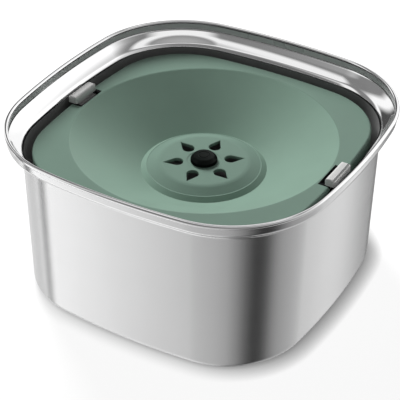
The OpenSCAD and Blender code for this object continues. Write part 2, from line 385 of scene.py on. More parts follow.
    @staticmethod
    def prism(name: str, outline: list[Vector], reach: Vector) -> Piece:
        """Draws a flat outline, fills it and extrudes it into a closed prism.

        Args:
            name: Name of the prism.
            outline: Points of the outline, in millimetres.
            reach: How far and which way it is extruded, in millimetres.

        Returns:
            The prism, in object mode.
        """
        piece = Bench.begin(name)
        Bench.chain([point * MM for point in outline])
        bpy.ops.mesh.edge_face_add()
        bpy.ops.mesh.extrude_region_move(TRANSFORM_OT_translate={"value": reach * MM})
        Bench.close()
        return piece

    @staticmethod
    def block(name: str, low: Vector, high: Vector) -> Piece:
        """Adds a cube primitive at its size and place, with its place in its mesh.

        Args:
            name: Name of the block.
            low: Lowest corner, in millimetres.
            high: Highest corner, in millimetres.

        Returns:
            The block, in object mode.
        """
        bpy.ops.object.select_all(action="DESELECT")
        bpy.ops.mesh.primitive_cube_add(size=1.0, location=(low + high) / 2 * MM)
        block = bpy.context.active_object
        block.name = name
        block.data.name = name
        block.scale = (high - low) * MM
        bpy.ops.object.transform_apply(location=True, rotation=True, scale=True)
        return block

    @staticmethod
    def paint(
        piece: Piece, base: bpy.types.Material, *zones: tuple[bpy.types.Material, FaceTest]
    ) -> None:
        """Gives a piece one material all over, and others to the faces that pass a test.

        Args:
            piece: Piece in object mode.
            base: Material of the whole piece.
            *zones: Other materials and the tests of their faces; a later one covers an earlier one.
        """
        piece.data.materials.clear()
        piece.data.materials.append(base)
        Bench.only(piece)
        bpy.ops.object.mode_set(mode="EDIT")
        for index, (material, test) in enumerate(zones, start=1):
            piece.data.materials.append(material)
            Bench.pick(piece, Pick.FACE, test)
            piece.active_material_index = index
            bpy.ops.object.material_slot_assign()
        bpy.ops.object.mode_set(mode="OBJECT")


class NodeSketch:
    """Small helper that adds and links the nodes of one material or world."""

    MIX_LOW = 6
    MIX_HIGH = 7
    MIX_OUT = 2

    def __init__(self, owner: bpy.types.Material | bpy.types.World) -> None:
        """Opens the nodes of a material or a world."""
        owner.use_nodes = True
        self.tree = owner.node_tree

    def add(self, kind: str, **values: object) -> bpy.types.Node:
        """Adds a node and sets its properties or its unlinked inputs.

        Args:
            kind: Node type.
            **values: Property values, or input values where no such property exists.

        Returns:
            The node.
        """
        node = self.tree.nodes.new(kind)
        for key, value in values.items():
            if hasattr(node, key):
                setattr(node, key, value)
            else:
                node.inputs[key.replace("_", " ")].default_value = value
        return node

    def link(self, source: Socket, target: Socket) -> None:
        """Links an output to an input."""
        self.tree.links.new(source, target)

    def calc(self, operation: str, first: Socket, second: Socket | float) -> Socket:
        """Works out one value from two.

        Args:
            operation: Name of the operation.
            first: First value.
            second: Second value, linked or plain.

        Returns:
            Output with the result.
        """
        node = self.add("ShaderNodeMath", operation=operation)
        self.link(first, node.inputs[0])
        if isinstance(second, float):
            node.inputs[1].default_value = second
        else:
            self.link(second, node.inputs[1])
        return node.outputs["Value"]

    def remap(
        self, source: Socket, before: Point2, after: Point2 = (0.0, 1.0), way: str = "LINEAR"
    ) -> Socket:
        """Maps a value from one range to another.

        Args:
            source: Value to map.
            before: Range that it comes from.
            after: Range that it goes to.
            way: Name of the interpolation.

        Returns:
            Output with the mapped value.
        """
        node = self.add("ShaderNodeMapRange", interpolation_type=way)
        for key, value in zip(("From Min", "From Max", "To Min", "To Max"), before + after):
            node.inputs[key].default_value = value
        self.link(source, node.inputs["Value"])
        return node.outputs["Result"]

    def ramp(self, source: Socket, stops: list[tuple[float, Point3]]) -> Socket:
        """Blends colours along a value.

        Args:
            source: Value from 0 to 1.
            stops: Positions and colours.

        Returns:
            Output with the colour.
        """
        node = self.add("ShaderNodeValToRGB")
        elements = node.color_ramp.elements
        elements.remove(elements[-1])
        for i, (position, colour) in enumerate(stops):
            stop = elements[0] if i == 0 else elements.new(position)
            stop.position = position
            stop.color = (*colour, 1.0)
        self.link(source, node.inputs["Fac"])
        return node.outputs["Color"]

    def mix(self, share: Socket, low: Socket, high: Socket | float) -> Socket:
        """Mixes two colours.

        Args:
            share: Share of the second colour.
            low: First colour.
            high: Second colour, or the tone of a plain grey.

        Returns:
            Output with the mixed colour.
        """
        node = self.add("ShaderNodeMix", data_type="RGBA")
        self.link(share, node.inputs["Factor"])
        self.link(low, node.inputs[self.MIX_LOW])
        if isinstance(high, float):
            node.inputs[self.MIX_HIGH].default_value = (high, high, high, 1.0)
        else:
            self.link(high, node.inputs[self.MIX_HIGH])
        return node.outputs[self.MIX_OUT]


class FinishSketch(NodeSketch):
    """Nodes of one finish: noises on the piece's own coordinates that vary a surface shader."""

    NOISE_SPAN: Point2 = (0.3, 0.7)
    NOISE_BREAKUP = 0.55
    GREY_SPAN: Point2 = (0.985, 1.015)
    COOL = 1.003

    def __init__(self, name: str) -> None:
        """Starts a material with one surface shader.

        Args:
            name: Name of the material.
        """
        self.material = bpy.data.materials.new(name)
        super().__init__(self.material)
        self.shader = self.tree.nodes["Principled BSDF"]

    def noise(self, scale: Point3, detail: float) -> Socket:
        """Adds a noise on the piece's own coordinates.

        Args:
            scale: Cells per metre along each axis.
            detail: Detail of the noise.

        Returns:
            Output with the noise's value.
        """
        place = self.add("ShaderNodeTexCoord")
        mapping = self.add("ShaderNodeMapping", Scale=scale)
        noise = self.add("ShaderNodeTexNoise", Scale=1.0, Detail=detail, Roughness=self.NOISE_BREAKUP)
        self.link(place.outputs["Object"], mapping.inputs["Vector"])
        self.link(mapping.outputs["Vector"], noise.inputs["Vector"])
        return noise.outputs["Fac"]

    def tint(self, source: Socket, low: Point3, high: Point3) -> None:
        """Blends the base colour between two tones over the noise's span."""
        colour = self.ramp(source, list(zip(self.NOISE_SPAN, (low, high))))
        self.link(colour, self.shader.inputs["Base Color"])

    def grey(self, source: Socket, tone: float) -> None:
        """Makes the base colour a slightly cool grey that varies a little.

        Args:
            source: Noise.
            tone: Brightness of the grey.
        """
        low, high = (min(1.0, tone * share) for share in self.GREY_SPAN)
        self.tint(source, (low, low, low * self.COOL), (high, high, high * self.COOL))

    def roughen(self, source: Socket, roughness: float, span: Point2) -> None:
        """Varies the roughness with a noise.

        Args:
            source: Noise.
            roughness: Roughness to vary.
            span: Lowest and highest share of it.
        """
        varied = self.remap(source, self.NOISE_SPAN, (roughness * span[0], roughness * span[1]))
        self.link(varied, self.shader.inputs["Roughness"])

    def bump(self, source: Socket, strength: float, depth: float) -> None:
        """Raises the surface by a height.

        Args:
            source: Height from 0 to 1.
            strength: Strength of the bump.
            depth: Height of the bump, in metres.
        """
        bump = self.add("ShaderNodeBump", Strength=strength, Distance=depth)
        self.link(source, bump.inputs["Height"])
        self.link(bump.outputs["Normal"], self.shader.inputs["Normal"])


@dataclass(frozen=True)
class BrushedSteel:
    """Steel brushed along the wall, so that reflections smear up and down."""

    name: str
    tone: float
    roughness: float
    smear: float
    grain: float
    smear_turn: float = 0.25
    line_scale: Point3 = (14.0, 14.0, 2600.0)
    cloud_scale: Point3 = (26.0, 26.0, 9.0)
    vary: Point2 = (0.92, 1.08)
    depth: float = 0.03 * MM

    def material(self) -> bpy.types.Material:
        """Builds the material.

        Returns:
            The material.
        """
        sketch = FinishSketch(self.name)
        shader = sketch.shader
        shader.inputs["Metallic"].default_value = 1.0
        shader.inputs["Anisotropic"].default_value = self.smear
        shader.inputs["Anisotropic Rotation"].default_value = self.smear_turn
        lines = sketch.noise(self.line_scale, FINE_DETAIL)
        sketch.grey(sketch.noise(self.cloud_scale, SOFT_DETAIL), self.tone)
        sketch.roughen(lines, self.roughness, self.vary)
        sketch.bump(lines, self.grain, self.depth)
        tangent = sketch.add("ShaderNodeTangent", direction_type="RADIAL", axis="Z")
        sketch.link(tangent.outputs["Tangent"], shader.inputs["Tangent"])
        return sketch.material


@dataclass(frozen=True)
class PolishedSteel:
    """Steel polished nearly to a mirror, or left matt, with faint haze."""

    name: str
    tone: float
    roughness: float
    mirror: float = 1.0
    haze_scale: Point3 = (45.0, 45.0, 45.0)
    vary: Point2 = (0.8, 1.25)

    def material(self) -> bpy.types.Material:
        """Builds the material.

        Returns:
            The material.
        """
        sketch = FinishSketch(self.name)
        sketch.shader.inputs["Metallic"].default_value = self.mirror
        haze = sketch.noise(self.haze_scale, SOFT_DETAIL)
        sketch.grey(haze, self.tone)
        sketch.roughen(haze, self.roughness, self.vary)
        return sketch.material


@dataclass(frozen=True)
class MouldedPlastic:
    """Moulded plastic with a fine grain and a slight change of tone."""

    name: str
    colour: Point3
    roughness: float
    grain: float
    specular: float
    mottle: float = 0.025
    cloud_scale: Point3 = (38.0, 38.0, 38.0)
    speck_scale: Point3 = (1500.0, 1500.0, 1500.0)
    vary: Point2 = (0.92, 1.08)
    depth: float = 0.04 * MM

    def material(self) -> bpy.types.Material:
        """Builds the material.

        Returns:
            The material.
        """
        sketch = FinishSketch(self.name)
        sketch.shader.inputs["Specular IOR Level"].default_value = self.specular
        cloud = sketch.noise(self.cloud_scale, SOFT_DETAIL)
        dark = tuple(c * (1.0 - self.mottle) for c in self.colour)
        light = tuple(c * (1.0 + self.mottle) for c in self.colour)
        sketch.tint(cloud, dark, light)
        sketch.roughen(cloud, self.roughness, self.vary)
        sketch.bump(sketch.noise(self.speck_scale, FINE_DETAIL), self.grain, self.depth)
        return sketch.material


class Finishes:
    """The materials of the bowl, each made once."""

    def __init__(self) -> None:
        """Builds every finish."""
        self.wall_steel = BrushedSteel("satin_wall_steel", 0.8, 0.24, 0.88, 0.05).material()
        self.band_steel = BrushedSteel("satin_band_steel", 0.8, 0.2, 0.8, 0.02).material()
        self.inner_steel = PolishedSteel("soft_inner_steel", 0.8, 0.3, 0.2).material()
        # The inside of the wall and the floor's top get a dark, matt copy of the steel: the matt finish is
        # the steel's own, the dark tone is painted shade for the deep gap under the plate.
        self.painted_shade_inner_steel = PolishedSteel("matt_inner_steel", 0.26, 0.6, 0.2).material()
        self.rim_steel = PolishedSteel("polished_rim_steel", 0.86, 0.07).material()
        self.green = MouldedPlastic("sage_plate_plastic", (0.225, 0.338, 0.274), 0.42, 0.04, 0.3).material()
        # A darker copy of the same green for the border and the pod: painted shade.
        self.painted_shade_green = MouldedPlastic(
            "sage_border_plastic", (0.176, 0.264, 0.216), 0.46, 0.05, 0.3
        ).material()
        self.cover = MouldedPlastic("dark_cover_plastic", (0.012, 0.014, 0.013), 0.5, 0.1, 0.4).material()
        self.cap = MouldedPlastic("black_cap_plastic", (0.004, 0.006, 0.005), 0.36, 0.05, 0.1).material()
        # Black of the tracks; the same black also goes on the plate's pocket walls as painted shade.
        self.track = MouldedPlastic("black_track_plastic", (0.004, 0.005, 0.005), 0.65, 0.08, 0.1).material()
        self.latch = MouldedPlastic("grey_latch_plastic", (0.68, 0.68, 0.67), 0.45, 0.05, 0.3).material()
        self.rubber = MouldedPlastic("ring_rubber", (0.018, 0.018, 0.018), 0.75, 0.25, 0.3).material()
        self.screw = PolishedSteel("screw_steel", 0.6, 0.28).material()


def settle(piece: Piece, body: str, slot: str, *nodes: str) -> None:
    """Ties a finished piece to its body and hides the solids that it stands for.

    Args:
        piece: Finished piece.
        body: Body that it moves with.
        slot: Material slot of the record; not used.
        *nodes: Solids that it stands for.
    """
    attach(piece, body)
    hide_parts(*nodes)
    log.info("%s: %d faces, rides on %s", piece.name, len(piece.data.polygons), body)


@dataclass
class BowlShell:
    """Drawn steel bowl with a rolled hem, an upright band, a sloping shoulder and a recessed floor."""

    outline: RimOutline
    rim_h: float = 126.0
    sheet: float = 1.0
    hem_r: float = 1.5
    band_foot_z: float = 118.2
    lip_x: float = -11.7
    lip_z: float = 110.3
    foot_x: float = -13.3
    floor_z: float = 0.9
    floor_end: float = -34.0
    band_bend: float = 2.5
    lip_bend: float = 4.0
    shoulder_sag: float = 0.9
    shoulder_bend: float = 28.0
    foot_bend: float = 5.0
    seam_r: float = 82.0
    recess_r: float = 74.0
    recess_play: float = 0.25
    recess_slope: float = 3.0
    recess_step: float = 1.4
    recess_bend: float = 1.2
    pole_r: float = 6.0
    polish_z: float = 108.6
    bend_steps: int = 10
    hem_steps: int = 26
    recess_steps: int = 5
    crease: float = 40.0
    level: float = 0.5
    upright: float = 0.1

    def profile(self) -> list[Point2]:
        """Draws the sheet's section from the floor's underside over the hem to the floor's top.

        Returns:
            Distances from the rim outline and heights.
        """
        t = self.sheet / 2
        top = (-self.hem_r, self.rim_h - self.hem_r)
        wall = [
            top,
            (-self.hem_r, self.band_foot_z),
            ((self.lip_x - self.hem_r) / 2, (self.band_foot_z + self.lip_z) / 2 - self.shoulder_sag),
            (self.lip_x, self.lip_z),
            (self.foot_x, self.floor_z),
            (self.floor_end, self.floor_z),
        ]
        radii = [0.0, self.band_bend, self.shoulder_bend, self.lip_bend, self.foot_bend, 0.0]
        outside = run(wall, radii, t, self.bend_steps)
        inside = run(wall, radii, -t, self.bend_steps)
        lean = math.asin(t / self.hem_r)
        first = lean - math.pi / 2
        sweep = 2 * math.pi - 2 * lean
        angles = [first + sweep * i / self.hem_steps for i in range(self.hem_steps + 1)]
        hem = [(top[0] + self.hem_r * math.cos(a), top[1] + self.hem_r * math.sin(a)) for a in angles]
        return outside[:0:-1] + hem + inside[1:]

    def floor(self, side: float) -> list[Point2]:
        """Draws one face of the floor from its seam inward, with the recess for the ring.

        Args:
            side: Distance from the sheet's middle line.

        Returns:
            Radii and heights.
        """
        edge_r = self.recess_r + self.recess_play
        raised_z = self.floor_z + self.recess_step
        path = [
            (self.seam_r, self.floor_z),
            (edge_r + self.recess_slope, self.floor_z),
            (edge_r, raised_z),
            (self.pole_r, raised_z),
        ]
        return run(path, [0.0, self.recess_bend, self.recess_bend, 0.0], side, self.recess_steps)

    def build(self) -> Piece:
        """Models the bowl.

        Returns:
            The finished mesh.
        """
        piece = Bench.begin("bowl_shell_drawn")
        Bench.sweep(self.outline.at(self.profile()), self.outline.arcs())
        t = self.sheet / 2
        for side in (t, -t):
            Bench.sweep(self.floor(side), full_turn(self.outline.steps))
            Bench.web(piece, self.floor_z - side)
            Bench.fill_inside(piece, 2 * self.pole_r, self.floor_z - side + self.recess_step)
        Bench.close()
        Bench.smooth(piece, self.crease)
        return piece

    @staticmethod
    def inward(face: Face) -> bool:
        """Tells a face that looks at the middle of the bowl."""
        return face.normal.xy.dot(face.calc_center_median().xy) < 0.0

    def on_wall(self, face: Face) -> bool:
        """Tells a face of the wall or the floor."""
        return face.calc_center_median().z / MM < self.polish_z

    def on_inside(self, face: Face) -> bool:
        """Tells a face of the wall's inner side or of the floor's top."""
        return self.on_wall(face) and (self.inward(face) or face.normal.z > self.level)

    def on_band(self, face: Face) -> bool:
        """Tells a face of the upright band below the hem."""
        z = face.calc_center_median().z / MM
        return abs(face.normal.z) < self.upright and self.band_foot_z < z < self.rim_h - 2 * self.hem_r

    def on_inner_band(self, face: Face) -> bool:
        """Tells a face of the band's inner side."""
        return self.on_band(face) and self.inward(face)

    def dress(self, piece: Piece, finishes: Finishes) -> None:
        """Polishes the rim, gives the wall and the band their steels, gives the inside a dark matt steel
        whose darkness is painted shade, and places the bowl.

        Args:
            piece: The bowl.
            finishes: Materials.
        """
        Bench.paint(
            piece,
            finishes.rim_steel,
            (finishes.wall_steel, self.on_wall),
            # The inside gets the dark steel: painted shade in the gap under the plate.
            (finishes.painted_shade_inner_steel, self.on_inside),
            (finishes.band_steel, self.on_band),
            (finishes.inner_steel, self.on_inner_band),
        )
        settle(piece, "bowl", "steel", "bowl_shell")


@dataclass
class BaseRing:
    """Non-slip ring under the bowl, with grooves on the face that it stands on."""

    inner_r: float = 52.0
    outer_r: float = 72.0
    height: float = 1.8
    edge_bend: float = 0.4
    grooves: int = 6
    groove_d: float = 0.5
    groove_half_w: float = 0.7
    groove_half_foot: float = 0.4
    groove_bends: tuple[float, ...] = (0.2, 0.15, 0.15, 0.2)
    bend_steps: int = 3
    turn_steps: int = 144
    crease: float = 30.0

    def build(self) -> Piece:
        """Models the ring.

        Returns:
            The finished mesh.
        """
        pitch = (self.outer_r - self.inner_r) / self.grooves
        half_w = self.groove_half_w
        half_foot = self.groove_half_foot
        path: list[Point2] = [(self.inner_r, self.height), (self.inner_r, 0.0)]
        radii = [0.0, self.edge_bend]
        for i in range(1, self.grooves):
            x = self.inner_r + pitch * i
            path += [(x - half_w, 0.0), (x - half_foot, self.groove_d)]
            path += [(x + half_foot, self.groove_d), (x + half_w, 0.0)]
            radii += self.groove_bends
        path += [(self.outer_r, 0.0), (self.outer_r, self.height), (self.inner_r, self.height)]
        radii += [self.edge_bend, 0.0, 0.0]
        piece = Bench.begin("base_ring_grooved")
        Bench.sweep(run(path, radii, 0.0, self.bend_steps), full_turn(self.turn_steps))
        Bench.close()
        Bench.smooth(piece, self.crease)
        return piece

    def dress(self, piece: Piece, finishes: Finishes) -> None:
        """Gives the ring its rubber and places it."""
        piece.data.materials.append(finishes.rubber)
        settle(piece, "bowl", "seal_rubber", "base_ring")


@dataclass
class FloatPlate:
    """Floating plate: a border with a rounded edge, a conical dish and a raised pod with teardrop holes."""

    outline: RimOutline
    edge_x: float = -17.5
    top_z: float = 106.6
    skin: float = 2.0
    skirt_z: float = 85.0
    border_x: float = -23.0
    edge_bend: float = 1.9
    skirt_bend: float = 0.25
    under_bend: float = 0.3
    seam_r: float = 95.6
    dish_r: float = 92.8
    dish_z: float = 80.4
    dish_bend: float = 3.0
    pod_r: float = 44.0
    pod_top_r: float = 31.4
    pod_z: float = 86.0
    pod_foot_bend: float = 0.4
    pod_bend: float = 11.0
    band_w: float = 3.8
    band_h: float = 2.6
    band_bend: float = 0.6
    groove_w: float = 0.7
    groove_d: float = 0.12
    groove_bend: float = 0.5
    seat_r: float = 12.4
    seat_floor_r: float = 11.4
    seat_d: float = 0.4
    seat_bend: float = 0.5
    seat_floor_bend: float = 0.4
    under_z: float = 2.27
    stem_r: float = 2.9
    well_r: float = 45.0
    collar_z: float = 77.0
    hole_tip: float = 28.0
    hole_root: float = 14.5
    hole_w: float = 8.4
    hole_turn: float = 36.0
    hole_reach: float = 8.0
    hole_steps: int = 32
    holes: int = 6
    flare_d: float = 0.35
    flare_h: float = 0.37
    flare: float = 1.1
    pocket_in: float = 93.5
    pocket_hw: float = 13.1
    pocket_z: float = 101.0
    pocket_wall: float = 1.6
    pocket_lap: float = 1.0
    tool_out: float = 8.0
    tool_up: float = 6.0
    dish_gap: float = 0.2
    pocket_gap: float = 0.1
    crease: float = 28.0

    def border(self) -> list[Point2]:
        """Draws the border's section from its top face round the edge to its underside.

        Returns:
            Distances from the rim outline and heights.
        """
        inner = self.edge_x - self.skin
        path = [
            (self.border_x, self.top_z),
            (self.edge_x, self.top_z),
            (self.edge_x, self.skirt_z),
            (inner, self.skirt_z),
            (inner, self.top_z - self.skin),
            (self.border_x, self.top_z - self.skin),
        ]
        return run(path, [0.0, self.edge_bend, self.skirt_bend, self.skirt_bend, self.under_bend, 0.0])

    def dish(self) -> list[Point2]:
        """Draws the section of the dish and the pod from the border inward and back along the underside.

        Returns:
            Radii and heights.
        """
        under = self.under_z
        slant = (self.dish_r - self.pod_r) / (self.top_z - self.dish_z)
        collar = self.well_r + self.skin
        band_r = self.pod_r - self.band_w
        band_z = self.dish_z + self.band_h
        seat_z = self.pod_z - self.seat_d
        top = [
            ((self.seam_r, self.top_z), 0.0),
            ((self.dish_r, self.top_z), self.dish_bend),
            ((self.pod_r, self.dish_z), self.pod_foot_bend),
            ((band_r, band_z), self.band_bend),
            ((band_r - self.groove_w, band_z - self.groove_d), self.groove_bend),
            ((self.pod_top_r, self.pod_z), self.pod_bend),
            ((self.seat_r, self.pod_z), self.seat_bend),
            ((self.seat_floor_r, seat_z), self.seat_floor_bend),
            ((self.stem_r, seat_z), 0.0),
        ]
        back = [
            (self.stem_r, self.pod_z - under),
            (self.pod_top_r, self.pod_z - under),
            (self.pod_r, self.dish_z - under),
            (self.well_r, self.dish_z + (self.well_r - self.pod_r) / slant - under),
            (self.well_r, self.collar_z),
            (collar, self.collar_z),
            (collar, self.dish_z + (collar - self.pod_r) / slant - under),
            (self.dish_r, self.top_z - under),
            (self.seam_r, self.top_z - self.skin),
        ]
        points = [point for point, _ in top] + back
        return run(points, [radius for _, radius in top] + [0.0] * len(back))

    def hole_tool(self) -> Piece:
        """Models the tool that cuts the teardrop holes, with a small flare at their upper edge.

        Returns:
            Closed mesh of all the holes.
        """
        tool = Bench.begin("hole_tool")
        r = self.hole_w / 2
        mid = self.hole_root + r
        lean = math.acos(r / (self.hole_tip - mid))
        sweep = 2 * math.pi - 2 * lean
        angles = [lean + sweep * i / self.hole_steps for i in range(self.hole_steps + 1)]
        drop = [(self.hole_tip, 0.0)] + [(mid + r * math.cos(t), r * math.sin(t)) for t in angles]
        cos_h = math.cos(math.radians(self.hole_turn))
        sin_h = math.sin(math.radians(self.hole_turn))
        low = self.pod_z - self.hole_reach
        Bench.chain([Vector((x * cos_h - y * sin_h, x * sin_h + y * cos_h, low)) * MM for x, y in drop])
        bpy.ops.mesh.edge_face_add()
        centre = Vector((mid * cos_h, mid * sin_h, 0.0)) * MM
        straight = self.pod_z - self.flare_d - low
        for rise, grow in ((straight, 1.0), (self.flare_h, self.flare), (self.tool_up, 1.0)):
            bpy.ops.mesh.extrude_region_move(TRANSFORM_OT_translate={"value": (0, 0, rise * MM)})
            if grow != 1.0:
                bpy.ops.transform.resize(value=(grow, grow, 1.0), center_override=centre)
        bpy.ops.mesh.select_linked()
        bpy.ops.mesh.normals_make_consistent(inside=False)
        bpy.ops.mesh.spin(
            steps=self.holes - 1,
            dupli=True,
            angle=2 * math.pi * (self.holes - 1) / self.holes,
            center=(0, 0, 0),
            axis=(0, 0, 1),
        )
        bpy.ops.object.mode_set(mode="OBJECT")
        return tool

    def pocket(self, side: Side) -> tuple[Piece, Piece]:
        """Models the walls of one latch's pocket and the tool that cuts it.

        Args:
            side: Side of the bowl.

        Returns:
            The block that joins the plate and the block that is cut away.
        """
        edge = self.outline.half_w + self.edge_x
        wall = self.pocket_wall
        lap = self.pocket_lap
        hw = self.pocket_hw
        low_x = self.pocket_in
        low_z = self.pocket_z
        blocks = []
        for name, x0, x1, y, z0, z1 in (
            ("pocket_wall", low_x - wall, edge - lap, hw + wall, low_z - wall, self.top_z - lap),
            ("pocket_tool", low_x, edge + self.tool_out, hw, low_z, self.top_z + self.tool_up),
        ):
            xs = sorted((x0 * side.value, x1 * side.value))
            blocks.append(Bench.block(name, Vector((xs[0], -y, z0)), Vector((xs[1], y, z1))))
        return blocks[0], blocks[1]

    def build(self) -> Piece:
        """Models the plate.

        Returns:
            The finished mesh.
        """
        piece = Bench.begin("float_plate_moulded")
        Bench.sweep(self.outline.at(self.border()), self.outline.arcs())
        Bench.sweep(self.dish(), full_turn(self.outline.steps))
        Bench.web(piece, self.top_z)
        Bench.web(piece, self.top_z - self.skin)
        Bench.close()
        for side in Side:
            wall, tool = self.pocket(side)
            Bench.boolean(piece, wall, Join.ADD)
            Bench.boolean(piece, tool, Join.CUT)
        Bench.boolean(piece, self.hole_tool(), Join.CUT)
        Bench.smooth(piece, self.crease)
        return piece

    def off_dish(self, face: Face) -> bool:
        """Tells a face of the border or of the pod, which get the darker green as painted shade."""
        r = face.calc_center_median().xy.length / MM
        return r > self.dish_r - self.dish_gap or r < self.pod_r - self.band_w

    def in_pocket(self, face: Face) -> bool:
        """Tells a face of a latch's pocket, which gets black as painted shade.

        Args:
            face: Face of the plate.

        Returns:
            True where the face lies in a pocket.
        """
        x, y, z = face.calc_center_median() / MM
        gap = self.pocket_gap
        inside = abs(x) > self.pocket_in - gap and abs(y) < self.pocket_hw + gap
        return inside and self.pocket_z - gap < z < self.top_z - gap

    def dress(self, piece: Piece, finishes: Finishes) -> None:
        """Gives the dish its green, the border and the pod a darker green that is painted shade, the
        pockets' walls black as painted shade, and places the plate.

        Args:
            piece: The plate.
            finishes: Materials.
        """
        # The darker green on the border and the pod, and the black on the pocket walls, are painted shade.
        Bench.paint(
            piece, finishes.green, (finishes.painted_shade_green, self.off_dish), (finishes.track, self.in_pocket)
        )
        piece.visible_glossy = False
        settle(piece, "float", "green_plastic", "float_plate")


@dataclass
class CentreCap:
    """Black cap that plugs the middle of the pod, with rings on its top and a barbed stem."""

    base_z: float = 86.0
    height: float = 4.6
    radius: float = 9.4
    top_r: float = 7.2
    dome: float = 0.3
    side_h: float = 1.8
    shoulder_bend: float = 1.2
    groove_r: float = 3.3
    groove_w: float = 0.9
    groove_d: float = 0.35
    groove_bend: float = 0.4
    groove_foot_bend: float = 0.3
    seat_d: float = 0.4
    seat_bend: float = 0.1
    stem_r: float = 2.6
    stem_len: float = 3.4
    barb_r: float = 3.1
    barb_bend: float = 0.2
    under_z: float = 2.27
    clip_t: float = 1.0
    pole_r: float = 0.25
    bend_steps: int = 5
    turn_steps: int = 72
    crease: float = 30.0

    def build(self) -> Piece:
        """Models the cap.

        Returns:
            The finished mesh.
        """
        z = self.base_z
        crown = z + self.height
        seat = z - self.seat_d
        clip = z - self.under_z - self.clip_t
        end = z - self.under_z - self.stem_len
        path = [
            ((self.pole_r, crown), 0.0),
            ((self.groove_r, crown), self.groove_bend),
            ((self.groove_r + self.groove_w / 2, crown - self.groove_d), self.groove_foot_bend),
            ((self.groove_r + self.groove_w, crown), self.groove_bend),
            ((self.top_r, crown - self.dome), self.shoulder_bend),
            ((self.radius, z + self.side_h), self.shoulder_bend),
            ((self.radius, seat), self.seat_bend),
            ((self.stem_r, seat), 0.0),
            ((self.stem_r, clip), 0.0),
            ((self.barb_r, clip), 0.0),
            ((self.stem_r, end), self.barb_bend),
            ((self.pole_r, end), 0.0),
        ]
        points = [point for point, _ in path]
        radii = [radius for _, radius in path]
        piece = Bench.begin("centre_cap_ringed")
        Bench.sweep(run(points, radii, 0.0, self.bend_steps), full_turn(self.turn_steps))
        Bench.fill_inside(piece, 2 * self.pole_r, crown)
        Bench.fill_inside(piece, 2 * self.pole_r, end)
        Bench.close()
        Bench.smooth(piece, self.crease)
        return piece

    def dress(self, piece: Piece, finishes: Finishes) -> None:
        """Gives the cap its black plastic and places it."""
        piece.data.materials.append(finishes.cap)
        settle(piece, "float", "black_plastic", "centre_cap")


@dataclass
class Latch:
    """Sliding latch: a thumb block, a lower tongue that reaches over the gap, and a foot in its track."""

    side: Side
    inner_x: float = 97.5
    step_x: float = 103.5
    outer_x: float = 105.6
    half_w: float = 12.5
    low_z: float = 106.9
    block_z: float = 112.0
    tongue_z: float = 111.0
    low_bend: float = 0.2
    tip_bend: float = 0.4
    tongue_bend: float = 0.9
    step_bend: float = 0.3
    brow_bend: float = 0.5
    thumb_bend: float = 3.0
    end_bend: float = 1.8
    plan_bend: float = 2.4
    foot_x: float = 100.5
    neck_hw: float = 10.4
    foot_hw: float = 11.8
    foot_z: float = 102.3
    foot_top_z: float = 103.9
    spare: float = 1.0
    crease: float = 32.0

    def side_view(self) -> list[Point2]:
        """Draws the latch from the side.

        Returns:
            Distances from the middle and heights.
        """
        corners = [
            ((self.inner_x, self.low_z), self.low_bend),
            ((self.outer_x, self.low_z), self.tip_bend),
            ((self.outer_x, self.tongue_z), self.tongue_bend),
            ((self.step_x, self.tongue_z), self.step_bend),
            ((self.step_x, self.block_z), self.brow_bend),
            ((self.inner_x, self.block_z), self.thumb_bend),
        ]
        return ring([point for point, _ in corners], [radius for _, radius in corners])

    def end_view(self) -> list[Point2]:
        """Draws the latch from its end.

        Returns:
            Widths and heights.
        """
        hw, low, high = self.half_w, self.low_z, self.block_z
        corners = [(-hw, low), (hw, low), (hw, high), (-hw, high)]
        return ring(corners, [self.low_bend, self.low_bend, self.end_bend, self.end_bend])

    def plan(self) -> list[Point2]:
        """Draws the latch from above: distances from the middle and widths."""
        hw, x0, x1 = self.half_w, self.inner_x, self.outer_x
        return ring([(x0, -hw), (x1, -hw), (x1, hw), (x0, hw)], [self.plan_bend] * 4)

    def build(self) -> Piece:
        """Models the latch where its three views meet, and joins its neck and foot.

        Returns:
            The finished mesh.
        """
        sign = self.side.value
        over = self.spare
        hw = self.half_w
        piece = Bench.prism(
            f"latch_{self.side.name.lower()}_moulded",
            [Vector((x * sign, -hw - over, z)) for x, z in self.side_view()],
            Vector((0, 2 * (hw + over), 0)),
        )
        across = Bench.prism(
            "latch_end",
            [Vector(((self.inner_x - over) * sign, y, z)) for y, z in self.end_view()],
            Vector(((self.outer_x - self.inner_x + 2 * over) * sign, 0, 0)),
        )
        Bench.boolean(piece, across, Join.COMMON)
        above = Bench.prism(
            "latch_plan",
            [Vector((x * sign, y, self.low_z - over)) for x, y in self.plan()],
            Vector((0, 0, self.block_z - self.low_z + 2 * over)),
        )
        Bench.boolean(piece, above, Join.COMMON)
        for x0, y, z1 in (
            (self.inner_x + 2 * over, self.neck_hw, self.low_z + over),
            (self.inner_x, self.foot_hw, self.foot_top_z),
        ):
            xs = sorted((x0 * sign, self.foot_x * sign))
            foot = Bench.block("foot", Vector((xs[0], -y, self.foot_z)), Vector((xs[1], y, z1)))
            Bench.boolean(piece, foot, Join.ADD)
        Bench.smooth(piece, self.crease)
        return piece

    def dress(self, piece: Piece, finishes: Finishes) -> None:
        """Gives the latch its grey plastic and places it.

        Args:
            piece: The latch.
            finishes: Materials.
        """
        name = f"latch_{self.side.name.lower()}"
        piece.data.materials.clear()
        piece.data.materials.append(finishes.latch)
        settle(piece, name, "grey_plastic", name)


@dataclass
class KeptSolids:
    """Solids whose plain shape is right, which only get their finish."""

    frame: dict

    def dress(self, finishes: Finishes) -> None:
        """Gives each kept solid its material.

        Args:
            finishes: Materials.
        """
        for name, material in (
            ("float_cover", finishes.cover),
            ("outer_seal", finishes.rubber),
            ("inner_seal", finishes.rubber),
            ("cover_screws", finishes.screw),
            ("cap_clip", finishes.screw),
            ("track_left", finishes.track),
            ("track_right", finishes.track),
            ("track_screws", finishes.screw),
        ):
            node = self.frame["nodes"][name]
            node.data.materials.clear()
            node.data.materials.append(material)
            node.visible_glossy = False
            log.info("%s: kept, finish %s", name, material.name)


